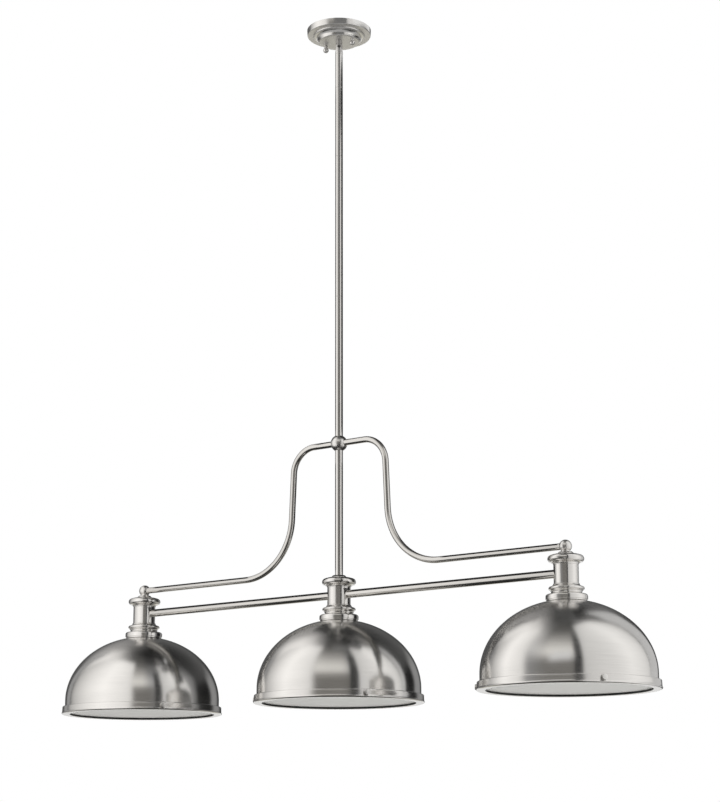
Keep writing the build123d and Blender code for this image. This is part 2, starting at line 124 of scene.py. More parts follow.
def nickel(name, base, rough, spread, aniso, turns_k, along_k, bump, rotation=0.25, vary=0.16):
    """Satin nickel with brush marks: fine lines round (or along) the surface drive colour, gloss and relief."""
    m, nt = new_material(name)
    co = around(nt, turns_k, along_k)
    fine = add(nt, "ShaderNodeTexNoise", {"Vector": co, "Scale": 1.0, "Detail": 4.0, "Roughness": 0.62}).outputs[0]
    wide = add(nt, "ShaderNodeTexNoise", {"Vector": around(nt, turns_k * 0.6, along_k * 0.06), "Scale": 1.0, "Detail": 3.0, "Roughness": 0.55}).outputs[0]
    place = add(nt, "ShaderNodeTexCoord").outputs["Object"]
    cloud = add(nt, "ShaderNodeTexNoise", {"Vector": place, "Scale": 9.0, "Detail": 3.0, "Roughness": 0.5}).outputs[0]
    mix = math_node(nt, "ADD", math_node(nt, "MULTIPLY", fine, 0.62), math_node(nt, "MULTIPLY", wide, 0.38))
    lo = tuple(c * (1 - spread) for c in base)
    hi = tuple(min(1.0, c * (1 + spread)) for c in base)
    colour = ramp(nt, mix, [(0.30, lo), (0.70, hi)])
    r1 = math_node(nt, "MULTIPLY_ADD", mix, vary, rough - vary / 2)
    r2 = math_node(nt, "MULTIPLY_ADD", cloud, 0.06, -0.03)
    r = math_node(nt, "ADD", r1, r2)
    b = add(nt, "ShaderNodeBump", {"Strength": bump, "Distance": 0.0002, "Height": fine}).outputs[0]
    t = add(nt, "ShaderNodeTangent", direction_type="UV_MAP", uv_map="UVMap").outputs[0]
    p = add(nt, "ShaderNodeBsdfPrincipled", {"Base Color": colour, "Roughness": r, "Normal": b, "Tangent": t})
    p.inputs["Metallic"].default_value = 1.0
    p.inputs["Anisotropic"].default_value = aniso
    p.inputs["Anisotropic Rotation"].default_value = rotation
    out = add(nt, "ShaderNodeOutputMaterial", {"Surface": p.outputs[0]})
    return m


def plain_metal(name, base, rough, spread, scale, bump):
    """Metal of small parts: blotchy plating and fine pitting, by place."""
    m, nt = new_material(name)
    place = add(nt, "ShaderNodeTexCoord").outputs["Object"]
    n1 = add(nt, "ShaderNodeTexNoise", {"Vector": place, "Scale": scale, "Detail": 5.0, "Roughness": 0.6}).outputs[0]
    n2 = add(nt, "ShaderNodeTexNoise", {"Vector": place, "Scale": scale * 9, "Detail": 2.0, "Roughness": 0.6}).outputs[0]
    lo = tuple(c * (1 - spread) for c in base)
    hi = tuple(min(1.0, c * (1 + spread)) for c in base)
    colour = ramp(nt, n1, [(0.3, lo), (0.7, hi)])
    r = math_node(nt, "MULTIPLY_ADD", n1, 0.14, rough - 0.07)
    b = add(nt, "ShaderNodeBump", {"Strength": bump, "Distance": 0.0002, "Height": n2}).outputs[0]
    p = add(nt, "ShaderNodeBsdfPrincipled", {"Base Color": colour, "Roughness": r, "Normal": b})
    p.inputs["Metallic"].default_value = 1.0
    add(nt, "ShaderNodeOutputMaterial", {"Surface": p.outputs[0]})
    return m


def dielectric(name, base, rough, spread, scale, bump, specular=0.5, subsurface=0.0, coat=0.0):
    m, nt = new_material(name)
    place = add(nt, "ShaderNodeTexCoord").outputs["Object"]
    n1 = add(nt, "ShaderNodeTexNoise", {"Vector": place, "Scale": scale, "Detail": 4.0, "Roughness": 0.55}).outputs[0]
    n2 = add(nt, "ShaderNodeTexNoise", {"Vector": place, "Scale": scale * 14, "Detail": 2.0, "Roughness": 0.6}).outputs[0]
    lo = tuple(c * (1 - spread) for c in base)
    hi = tuple(min(1.0, c * (1 + spread)) for c in base)
    colour = ramp(nt, n1, [(0.3, lo), (0.7, hi)])
    r = math_node(nt, "MULTIPLY_ADD", n1, 0.12, rough - 0.06)
    b = add(nt, "ShaderNodeBump", {"Strength": bump, "Distance": 0.0003, "Height": n2}).outputs[0]
    p = add(nt, "ShaderNodeBsdfPrincipled", {"Base Color": colour, "Roughness": r, "Normal": b})
    p.inputs["Specular IOR Level"].default_value = specular
    if subsurface:
        p.inputs["Subsurface Weight"].default_value = subsurface
        p.inputs["Subsurface Scale"].default_value = 0.004
    if coat:
        p.inputs["Coat Weight"].default_value = coat
        p.inputs["Coat Roughness"].default_value = 0.12
    add(nt, "ShaderNodeOutputMaterial", {"Surface": p.outputs[0]})
    return m


NICKEL = (0.77, 0.757, 0.738)
MAT = {
    "shade": nickel("shade_nickel", NICKEL, 0.20, 0.05, 0.70, 3.0, 700.0, 0.012),
    "ring": nickel("ring_nickel", NICKEL, 0.22, 0.04, 0.55, 3.0, 700.0, 0.012),
    "turned": nickel("turned_nickel", NICKEL, 0.18, 0.03, 0.40, 2.2, 900.0, 0.01),
    # rods, bars and arms use darker copies of the same nickel: painted shade that tones the tubes down
    "tube": nickel("tube_nickel", tuple(c * 0.94 for c in NICKEL), 0.165, 0.03, 0.30, 7.0, 6.0, 0.004, vary=0.05),
    "bar": nickel("bar_nickel_painted_shade", (0.662, 0.648, 0.625), 0.165, 0.03, 0.30, 7.0, 6.0, 0.002, vary=0.03),
    "satin": plain_metal("satin_nickel", NICKEL, 0.42, 0.05, 420.0, 0.10),
    "ball": nickel("ball_nickel", NICKEL, 0.27, 0.03, 0.0, 2.2, 900.0, 0.02),
    "bright": plain_metal("bright_nickel", (0.80, 0.785, 0.765), 0.15, 0.04, 220.0, 0.03),
    "screw": plain_metal("screw_nickel", (0.86, 0.85, 0.83), 0.36, 0.05, 240.0, 0.05),
    "soft": plain_metal("soft_nickel", NICKEL, 0.30, 0.05, 240.0, 0.05),
    # near-black inner wall of the ring lip: painted shade standing for the shadow gap between lip and glass
    "edge": plain_metal("ring_inner_edge_painted_shade", (0.045, 0.045, 0.045), 0.45, 0.15, 180.0, 0.10),
    "zinc": plain_metal("zinc_steel", (0.58, 0.60, 0.63), 0.36, 0.12, 60.0, 0.15),
    "brass": plain_metal("brass_fittings", (0.72, 0.55, 0.27), 0.30, 0.10, 90.0, 0.10),
    "green": dielectric("earth_green", (0.06, 0.28, 0.10), 0.38, 0.12, 300.0, 0.08),
    "holder": dielectric("holder_moulding", (0.025, 0.025, 0.027), 0.42, 0.15, 120.0, 0.12),
    "opal": dielectric("opal_glass", (0.86, 0.86, 0.845), 0.42, 0.012, 14.0, 0.02, specular=0.35),
    "enamel": dielectric("white_enamel", (0.82, 0.82, 0.80), 0.36, 0.02, 40.0, 0.05),
    "lamp": dielectric("lamp_glass", (0.88, 0.88, 0.86), 0.34, 0.01, 60.0, 0.02, subsurface=0.15),
    "pin": plain_metal("pin_steel", (0.20, 0.195, 0.19), 0.42, 0.15, 260.0, 0.10),
}


# ------------------------------------------------------------------ profiles
def arc3(p, q, s, n=12):
    """Points on the circle through p, q, s, from p to s."""
    (ax, ay), (bx, by), (cx, cy) = p, q, s
    d = 2 * (ax * (by - cy) + bx * (cy - ay) + cx * (ay - by))
    ux = ((ax * ax + ay * ay) * (by - cy) + (bx * bx + by * by) * (cy - ay) + (cx * cx + cy * cy) * (ay - by)) / d
    uy = ((ax * ax + ay * ay) * (cx - bx) + (bx * bx + by * by) * (ax - cx) + (cx * cx + cy * cy) * (bx - ax)) / d
    r = math.hypot(ax - ux, ay - uy)
    a0, a1, a2 = (math.atan2(y - uy, x - ux) for x, y in (p, q, s))
    two = 2 * math.pi
    ccw = (a1 - a0) % two < (a2 - a0) % two
    sweep = (a2 - a0) % two if ccw else -((a0 - a2) % two)
    return [(ux + r * math.cos(a0 + sweep * i / n), uy + r * math.sin(a0 + sweep * i / n)) for i in range(n + 1)]


def soften(points, radius, closed=True, keep=()):
    """Rounds each corner that turns by over 25 degrees, with points close to the round's ends so that flats stay flat."""
    out = []
    n = len(points)
    for i, p in enumerate(points):
        if not closed and i in (0, n - 1):
            out.append(p)
            continue
        a, b = points[i - 1], points[(i + 1) % n]
        v1 = Vector((a[0] - p[0], a[1] - p[1]))
        v2 = Vector((b[0] - p[0], b[1] - p[1]))
        if v1.length < 1e-9 or v2.length < 1e-9:
            continue
        turn = math.pi - v1.angle(v2)
        if turn < math.radians(25):
            out.append(p)
            continue
        half = turn / 2
        cut = min(radius * math.tan(half), 0.42 * v1.length, 0.42 * v2.length)
        rr = cut / math.tan(half)
        d1, d2 = v1.normalized(), v2.normalized()
        s = (p[0] + d1.x * cut, p[1] + d1.y * cut)
        e = (p[0] + d2.x * cut, p[1] + d2.y * cut)
        bis = (d1 + d2).normalized()
        c = (p[0] + bis.x * rr / math.cos(half), p[1] + bis.y * rr / math.cos(half))
        lead = min(0.5 * cut, 0.06 * v1.length + 0.05)
        tail = min(0.5 * cut, 0.06 * v2.length + 0.05)
        out.append((s[0] + d1.x * lead, s[1] + d1.y * lead))
        a0 = math.atan2(s[1] - c[1], s[0] - c[0])
        a1 = math.atan2(e[1] - c[1], e[0] - c[0])
        sweep = (a1 - a0 + math.pi) % (2 * math.pi) - math.pi
        steps = 5
        for k in range(steps + 1):
            out.append((c[0] + rr * math.cos(a0 + sweep * k / steps), c[1] + rr * math.sin(a0 + sweep * k / steps)))
        out.append((e[0] + d2.x * tail, e[1] + d2.y * tail))
    return out


def spin(name, profile, axis_x, segments=160, closed=True, base=-DROP, mats=None, face_mat=None, origin=None, direction=None):
    """Turns a profile (radius, height in mm) about an upright axis, or about direction through origin. v of the UV map is the length along the profile in metres."""
    pts = profile
    count = len(pts)
    verts, faces, uvs, mat_index = [], [], [], []
    ring_index = []
    length = [0.0]
    for i in range(1, count + (1 if closed else 0)):
        a, b = pts[i - 1], pts[i % count]
        length.append(length[-1] + math.hypot(a[0] - b[0], a[1] - b[1]) * MM)
    if direction is None:
        o = Vector((axis_x * MM, 0, base * MM))
        ex, ey, ez = Vector((1, 0, 0)), Vector((0, 1, 0)), Vector((0, 0, 1))
    else:
        o = Vector(origin) * MM
        ez = Vector(direction).normalized()
        ex = ez.orthogonal().normalized()
        ey = ez.cross(ex)
    for r, h in pts:
        if r < 1e-6:
            ring_index.append([len(verts)] * segments)
            verts.append(o + ez * h * MM)
            continue
        row = []
        for j in range(segments):
            t = 2 * math.pi * j / segments
            row.append(len(verts))
            verts.append(o + (ex * math.cos(t) + ey * math.sin(t)) * r * MM + ez * h * MM)
        ring_index.append(row)
    last = count if closed else count - 1
    for i in range(last):
        lower, upper = ring_index[i], ring_index[(i + 1) % count]
        for j in range(segments):
            k = (j + 1) % segments
            quad = [lower[j], lower[k], upper[k], upper[j]]
            uv = [(j / segments, length[i]), ((j + 1) / segments, length[i]), ((j + 1) / segments, length[i + 1]), (j / segments, length[i + 1])]
            if lower[j] == lower[k]:
                quad, uv = [lower[j], upper[k], upper[j]], [uv[0], uv[2], uv[3]]
            elif upper[j] == upper[k]:
                quad, uv = [lower[j], lower[k], upper[j]], [uv[0], uv[1], uv[3]]
            faces.append(quad)
            uvs.append(uv)
            mat_index.append(face_mat(pts[i], pts[(i + 1) % count]) if face_mat else 0)
    return mesh_object(name, verts, faces, uvs, mats, mat_index)


def mesh_object(name, verts, faces, uvs, mats, mat_index=None):
    me = bpy.data.meshes.new(name)
    me.from_pydata([tuple(v) for v in verts], [], faces)
    layer = me.uv_layers.new(name="UVMap")
    flat = [c for uv in uvs for p in uv for c in p]
    layer.data.foreach_set("uv", flat)
    me.polygons.foreach_set("use_smooth", [True] * len(faces))
    for m in mats:
        me.materials.append(m)
    if mat_index and len(mats) > 1:
        me.polygons.foreach_set("material_index", mat_index)
    me.update()
    # faces point outwards
    vol = 0.0
    for poly in me.polygons:
        vs = [me.vertices[v].co for v in poly.vertices]
        for k in range(1, len(vs) - 1):
            vol += vs[0].dot(vs[k].cross(vs[k + 1]))
    if vol < 0:
        me.flip_normals()
    ob = bpy.data.objects.new(name, me)
    scene.collection.objects.link(ob)
    return ob


def pipe(name, centre, radius, wall, segments=48, mats=None):
    """Hollow tube along a list of points in the XZ plane or on a straight line (mm, row frame); the ends are rounded over."""
    pts = [Vector(p) for p in centre]
    n = len(pts)
    side = Vector((0, 1, 0))
    verts, faces, uvs = [], [], []
    run = [0.0]
    for i in range(1, n):
        run.append(run[-1] + (pts[i] - pts[i - 1]).length)
    frames = []
    for i in range(n):
        d = (pts[min(i + 1, n - 1)] - pts[max(i - 1, 0)]).normalized()
        frames.append((side, d.cross(side).normalized(), d))
    lip = 0.35
    loops = []                                   # (point index, offset along, radius, v)
    loops.append((0, 0.0, radius - wall, -wall))
    loops.append((0, 0.0, radius - lip, -lip))
    loops.append((0, lip * 0.3, radius - lip * 0.3, 0.1))
    loops.append((0, lip, radius, lip))
    loops.append((0, lip * 2.2, radius, lip * 2.2))
    for i in range(1, n - 1):
        loops.append((i, 0.0, radius, run[i]))
    loops.append((n - 1, -lip * 2.2, radius, run[-1] - lip * 2.2))
    loops.append((n - 1, -lip, radius, run[-1] - lip))
    loops.append((n - 1, -lip * 0.3, radius - lip * 0.3, run[-1] - 0.1))
    loops.append((n - 1, 0.0, radius - lip, run[-1] + lip))
    loops.append((n - 1, 0.0, radius - wall, run[-1] + wall))
    for i in range(n - 2, 0, -1):
        loops.append((i, 0.0, radius - wall, run[-1] * 2 - run[i]))
    rows = []
    for i, off, r, v in loops:
        a, b, d = frames[i]
        c = pts[i] + d * off
        row = []
        for j in range(segments):
            t = 2 * math.pi * j / segments
            row.append(len(verts))
            verts.append((c + (a * math.cos(t) + b * math.sin(t)) * r) * MM)
        rows.append((row, v * MM))
    m = len(rows)
    for i in range(m):
        (lo, v0), (hi, v1) = rows[i], rows[(i + 1) % m]
        if i == m - 1:
            v1 = v0 + (run[1] * MM)
        for j in range(segments):
            k = (j + 1) % segments
            faces.append([lo[j], lo[k], hi[k], hi[j]])
            uvs.append([(j / segments, v0), ((j + 1) / segments, v0), ((j + 1) / segments, v1), (j / segments, v1)])
    return mesh_object(name, verts, faces, uvs, mats)


def stands_for(ob, node):
    body = nodes[node]["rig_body"]
    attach(ob, body)
    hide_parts(node)
    return ob


# ------------------------------------------------------------------ shades
def ellipse(a, b, h0, end, n):
    return [(a * math.cos(end * i / n), h0 + b * math.sin(end * i / n)) for i in range(n + 1)]


OUT_END = math.asin((161.0 - 29.0) / 135.0)
IN_END = math.asin((161.0 - 1.2 - 29.0) / 133.8)
dome_out = [(161.8, 7.2), (161.8, 7.8), (161.8, 14.0), (161.8, 20.0), (161.8, 25.0)] + ellipse(161.8, 135.0, 29.0, OUT_END, 72)
dome_in = list(reversed([(160.6, 7.2), (160.6, 7.8), (160.6, 14.0), (160.6, 20.0), (160.6, 25.0)] + ellipse(160.6, 133.8, 29.0, IN_END, 72)))
dome = dome_out + [(33.0, 161.0), (20.0, 161.0), (5.2, 161.0), (5.2, 159.8), (20.0, 159.8), (33.0, 159.8)] + dome_in
dome_inner_from = len(dome_out) + 3


def dome_face(p, q):
    ra, rb = p[0], q[0]
    ia = ((p[0] / 161.2) ** 2 + (max(0.0, p[1] - 29.0) / 134.4) ** 2) < 1.0
    ib = ((q[0] / 161.2) ** 2 + (max(0.0, q[1] - 29.0) / 134.4) ** 2) < 1.0
    return 1 if ia and ib else 0


for side, cx in LIGHTS.items():
    ob = spin("shade_" + side + "_spun", dome, cx, 256, mats=[MAT["shade"], MAT["enamel"]], face_mat=dome_face)
    stands_for(ob, "shade_" + side)

    # retaining ring
    ring = [(162.5, 14.8), (162.5, 16.0), (165.3, 16.0)] + arc3((165.3, 16.0), (166.4, 15.5), (166.9, 14.4), 6)[1:] + [(167.05, 10.0), (167.2, 5.2)]
    ring += arc3((167.2, 5.2), (167.5, 3.9), (168.25, 2.6), 8)[1:] + arc3((168.25, 2.6), (167.49, 0.76), (165.65, 0.0), 12)[1:]
    ring += [(165.0, 0.0), (160.0, 0.0), (155.0, 0.0), (152.1, 0.0)] + arc3((152.1, 0.0), (151.68, 0.18), (151.5, 0.6), 5)[1:]
    ring += [(151.5, 4.0), (152.7, 4.0), (152.7, 1.2), (166.4, 1.2), (166.0, 5.2), (165.7, 14.2), (165.1, 14.8)]
    # the lip's inner wall faces get the near-black material: painted shade of the gap at the glass
    ob = spin("retaining_ring_" + side + "_band", soften(ring, 0.35), cx, 256, mats=[MAT["ring"], MAT["edge"]],
              face_mat=lambda p, q: 1 if max(p[0], q[0]) < 153.0 and min(p[1], q[1]) > 0.25 else 0)
    stands_for(ob, "retaining_ring_" + side)

    # diffuser glass
    glass = [(0.0, 4.0), (40.0, 4.0), (80.0, 4.0), (120.0, 4.0), (159.5, 4.0), (160.0, 4.5), (160.0, 6.3), (159.5, 6.8), (120.0, 6.8), (80.0, 6.8), (40.0, 6.8), (0.0, 6.8)]
    ob = spin("diffuser_" + side + "_glass", glass, cx, 192, closed=False, mats=[MAT["opal"]])
    stands_for(ob, "diffuser_" + side)

    # fitter cap
    bore = 8.0 if side == "center" else 3.05
    cap = [(18.0, 223.5), (20.98, 223.5), (20.98, 228.0), (23.6, 228.0), (23.6, 229.2)]
    cap += arc3((23.6, 229.2), (25.6, 232.0), (29.6, 233.0), 10)[1:] + arc3((29.6, 233.0), (33.6, 238.0), (28.6, 245.9), 18)[1:]
    cap += [(24.0, 247.2), (15.6, 247.6), (15.6, 249.0), (12.6, 252.0), (12.2, 252.4), (bore, 252.4), (bore, 241.0), (18.0, 241.0)]
    ob = spin("fitter_cap_" + side + "_turned", soften(cap, 0.5), cx, 128, mats=[MAT["turned"]])
    stands_for(ob, "fitter_cap_" + side)

    # fitter barrel
    barrel = [(21.0, 193.5), (23.1, 193.5), (23.1, 200.0), (23.1, 207.0), (23.1, 214.0), (23.1, 221.0), (23.1, 228.0), (21.0, 228.0), (21.0, 214.0)]
    ob = spin("fitter_barrel_" + side + "_tube", soften(barrel, 0.3), cx, 128, mats=[MAT["turned"]])
    stands_for(ob, "fitter_barrel_" + side)

    # fitter base
    base = [(30.5, 161.0), (36.9, 161.0), (37.4, 161.5), (37.4, 163.6), (38.2, 163.6)] + arc3((38.2, 163.6), (38.65, 163.8), (38.8, 164.3), 4)[1:]
    base += [(38.8, 166.8)] + arc3((38.8, 169.4), (38.0, 172.2), (35.2, 173.8), 10) + arc3((35.2, 173.8), (30.2, 174.5), (28.2, 176.4), 10)[1:]
    base += arc3((28.2, 176.4), (28.7, 178.6), (30.8, 181.4), 8)[1:] + arc3((30.8, 181.4), (33.0, 184.8), (31.0, 187.6), 12)[1:]
    base += arc3((31.0, 187.6), (26.5, 189.5), (24.4, 191.8), 10)[1:]
    base += [(24.4, 193.0), (23.9, 193.5), (20.98, 193.5), (20.98, 199.0), (18.0, 199.0), (18.0, 187.0), (22.0, 183.0), (22.0, 169.0), (5.05, 169.0), (5.05, 165.0), (30.5, 165.0)]
    ob = spin("fitter_base_" + side + "_turned", soften(base, 0.35), cx, 128, mats=[MAT["turned"]])
    stands_for(ob, "fitter_base_" + side)

    # lamp: glass bulb on its screw cap
    globe = [(30.0 * math.sin(math.radians(a)), 58.6 - 30.0 * math.cos(math.radians(a))) for a in range(0, 118, 6)]
    neck = arc3(globe[-1], (18.2, 87.6), (13.6, 103.0), 10)[1:]
    thread = []
    for k in range(0, 61):
        h = 111.2 + 20.4 * k / 60
        thread.append((12.55 + 0.45 * math.sin(2 * math.pi * (h - 111.2) / 3.4), h))
    lamp = globe + neck + [(12.9, 108.6), (12.6, 110.4)] + thread + [(12.0, 132.6), (9.0, 135.5), (5.0, 136.5), (5.0, 138.5), (0.0, 139.0)]
    ob = spin("bulb_" + side + "_lamp", lamp, cx, 64, closed=False, mats=[MAT["lamp"], MAT["brass"], MAT["holder"]],
              face_mat=lambda p, q: 0 if q[1] <= 110.0 else (2 if 132.6 <= p[1] < 136.4 else 1))
    stands_for(ob, "bulb_" + side)

# ------------------------------------------------------------------ rods, bars, arms
z0 = -54.0 - 838.2
foot = z0
for name, length in (("rod_long_lower", 304.8), ("rod_long_upper", 304.8), ("rod_medium", 152.4), ("rod_short", 76.2)):
    steps = max(3, int(length / 25))
    ob = pipe(name + "_tube", [(0, 0, foot + length * i / steps) for i in range(steps + 1)], 7.95, 1.6, 64, [MAT["tube"]])
    stands_for(ob, name)
    foot += length
low, high = 226.0 - DROP, z0 - 6.0
ob = pipe("lower_rod_tube", [(0, 0, low + (high - low) * i / 12) for i in range(13)], 7.95, 1.6, 64, [MAT["tube"]])
stands_for(ob, "lower_rod")
for side, s in (("left", -1), ("right", 1)):
    a, b = s * 11.0, s * (PITCH - 11.0)
    ob = pipe("bar_" + side + "_tube", [(a + (b - a) * i / 20, 0, 213.5 - DROP) for i in range(21)], 7.95, 1.5, 64, [MAT["bar"]])
    stands_for(ob, "bar_" + side)


def bent(points, radii, step=3.0):
    """Straight runs joined by tangent arcs, in the XZ plane."""
    out = [Vector(points[0])]
    for i in range(1, len(points) - 1):
        p = Vector(points[i])
        d1 = (Vector(points[i - 1]) - p).normalized()
        d2 = (Vector(points[i + 1]) - p).normalized()
        half = (math.pi - d1.angle(d2)) / 2
        cut = radii[i - 1] * math.tan(half)
        s, e = p + d1 * cut, p + d2 * cut
        bis = (d1 + d2).normalized()
        c = p + bis * radii[i - 1] / math.cos(half)
        u, w = s - c, e - c
        ang = u.angle(w)
        n = max(4, int(math.degrees(ang) / step))
        last = out[-1]
        gap = (s - last).length
        m = max(1, int(gap / 20))
        for k in range(1, m):
            out.append(last.lerp(s, k / m))
        axis = u.cross(w).normalized()
        for k in range(n + 1):
            out.append(c + Matrix.Rotation(ang * k / n, 3, axis) @ u)
    last, end = out[-1], Vector(points[-1])
    m = max(2, int((end - last).length / 20))
    for k in range(1, m + 1):
        out.append(last.lerp(end, k / m))
    return out


for side, s in (("left", -1), ("right", 1)):
    path = bent([(s * 8.7, 0, 521.0 - DROP), (s * 113.0, 0, 521.0 - DROP), (s * 125.0, 0, 263.0 - DROP), (s * (PITCH - 2.5), 0, 263.0 - DROP)], [52.0, 120.0])
    ob = pipe("arm_" + side + "_tube", path, 6.35, 1.2, 56, [MAT["bar"]])
    stands_for(ob, "arm_" + side)

# ------------------------------------------------------------------ balls
ball = [(17.0 * math.sin(math.radians(a)), 521.0 - 17.0 * math.cos(math.radians(a))) for a in range(29, 152, 3)]
ball += [(8.0, ball[-1][1]), (8.0, 521.0), (8.0, ball[0][1])]
ob = spin("center_ball_turned", soften(ball, 0.25), 0.0, 96, mats=[MAT["ball"]])
stands_for(ob, "center_ball")
for side, s in (("left", -1), ("right", 1)):
    prof = [(0.0, 232.0), (2.6, 232.0), (3.0, 232.4), (3.0, 252.4), (8.1, 252.4), (8.5, 252.8), (8.5, 254.2)]
    start = math.degrees(math.acos((263.0 - 254.53) / 12.0))
    prof += [(12.0 * math.sin(math.radians(start + (180 - start) * k / 36)), 263.0 - 12.0 * math.cos(math.radians(start + (180 - start) * k / 36))) for k in range(37)]
    prof[-1] = (0.0, 275.0)
    ob = spin("end_ball_" + side + "_turned", soften(prof, 0.3, closed=False), s * PITCH, 96, closed=False, mats=[MAT["ball"]])
    stands_for(ob, "end_ball_" + side)

# ------------------------------------------------------------------ canopy and its knobs
can = [(66.3, 0.0), (67.5, 0.0), (67.5, -2.0), (67.2, -7.0), (66.9, -11.6)] + arc3((66.9, -11.6), (66.45, -12.6), (65.4, -13.0), 6)[1:]
can += [(62.0, -13.0), (58.0, -13.0), (54.6, -13.0)] + arc3((54.6, -13.0), (54.2, -15.4), (52.1, -16.4), 10)[1:] + [(50.6, -16.4)]
can += arc3((50.6, -16.4), (44.6, -19.4), (42.3, -25.6), 16)[1:] + arc3((42.3, -25.6), (41.75, -26.6), (40.7, -27.0), 6)[1:]
can += [(32.0, -27.0), (24.0, -27.0), (16.0, -27.0), (5.06, -27.0), (5.06, -25.8), (16.0, -25.8), (24.0, -25.8), (32.0, -25.8), (40.3, -25.8)]
can += arc3((40.3, -25.8), (43.5, -18.6), (50.4, -15.2), 12)[1:] + [(52.4, -15.2), (53.2, -11.8), (65.5, -11.8), (66.3, -2.0)]
ob = spin("canopy_spun", soften(can, 0.35), 0.0, 192, base=0.0, mats=[MAT["ring"], MAT["satin"]],
          face_mat=lambda p, q: 1 if abs(p[1] - q[1]) < 0.05 and p[1] < -12.0 else 0)
stands_for(ob, "canopy")
for side, sx in (("left", -34.925), ("right", 34.925)):
    prof = [(0.0, -36.6), (2.15, -35.8), (2.15, -27.1), (3.9, -27.1), (3.9, -28.0), (2.95, -28.6), (2.95, -31.0)]
    prof += [(5.8 * math.sin(math.radians(a)), -35.994 + 5.8 * math.cos(math.radians(a))) for a in range(36, 181, 6)]
    prof[-1] = (0.0, -41.794)
    ob = spin("canopy_knob_" + side + "_ball", soften(prof, 0.25, closed=False), sx, 72, closed=False, base=0.0, mats=[MAT["bright"]])
    stands_for(ob, "canopy_knob_" + side)

# ------------------------------------------------------------------ CAD nodes that stay, with their finishes
KEEP = {
    "crossbar": "zinc", "crossbar_studs": "zinc", "ground_screw": "green",
    "swivel_stem": "soft", "swivel_yoke": "soft", "swivel_pin": "pin", "swivel_locknut": "brass",
    "rod_couplers": "brass", "socket_nipples": "brass", "socket_locknuts": "brass", "screw_shells": "brass",
}
for side in LIGHTS:
    KEEP["lampholder_" + side] = "holder"
    for place in SCREWS:
        KEEP["thumbscrew_" + side + "_" + place] = "screw"
for node, key in KEEP.items():
    me = nodes[node].data
    me.materials.clear()
    me.materials.append(MAT[key])

# ------------------------------------------------------------------ floor and light
floor_z = -3.4
me = bpy.data.meshes.new("studio_floor")
me.from_pydata([(-50, -50, floor_z), (50, -50, floor_z), (50, 50, floor_z), (-50, 50, floor_z)], [], [[0, 1, 2, 3]])
floor = bpy.data.objects.new("studio_floor", me)
scene.collection.objects.link(floor)
paint, nt = new_material("pale_floor")
where = add(nt, "ShaderNodeTexCoord").outputs["Object"]
grain = add(nt, "ShaderNodeTexNoise", {"Vector": where, "Scale": 3.0, "Detail": 4.0, "Roughness": 0.55}).outputs[0]
matt = add(nt, "ShaderNodeBsdfPrincipled", {"Base Color": ramp(nt, grain, [(0.3, (0.83, 0.83, 0.82)), (0.7, (0.85, 0.85, 0.84))]), "Roughness": 0.7, "Specular IOR Level": 0.2}).outputs[0]
level_place = add(nt, "ShaderNodeVectorMath", {0: where, 1: (1.0, 1.0, 0.0)}, operation="MULTIPLY").outputs[0]
away = math_node(nt, "DIVIDE", add(nt, "ShaderNodeVectorMath", {0: level_place}, operation="LENGTH").outputs["Value"], 40.0)
far = ramp(nt, away, [(0.0, 0.0), (0.06, 0.0), (0.40, 1.0), (1.0, 1.0)], "EASE")
lift_near = add(nt, "ShaderNodeAddShader", {0: matt, 1: add(nt, "ShaderNodeEmission", {"Strength": 0.50}).outputs[0]}).outputs[0]
whole = add(nt, "ShaderNodeMixShader", {0: far, 1: lift_near, 2: add(nt, "ShaderNodeEmission", {"Strength": 1.0}).outputs[0]}).outputs[0]
pale = add(nt, "ShaderNodeMixShader", {0: add(nt, "ShaderNodeLightPath").outputs["Is Camera Ray"], 1: matt, 2: whole}).outputs[0]
add(nt, "ShaderNodeOutputMaterial", {"Surface": pale})
me.materials.append(paint)
floor.visible_glossy = False

# level directions from the light: to the photographer and to their right
TO_CAM = Vector((0.6004, -0.7997, 0.0))
TO_RIGHT = Vector((0.7997, 0.6004, 0.0))


def spot(u, v, h):
    """Place given by distance towards the photographer, to their right, and height above the rings."""
    return TO_CAM * u + TO_RIGHT * v + Vector((0, 0, h - DROP * MM))


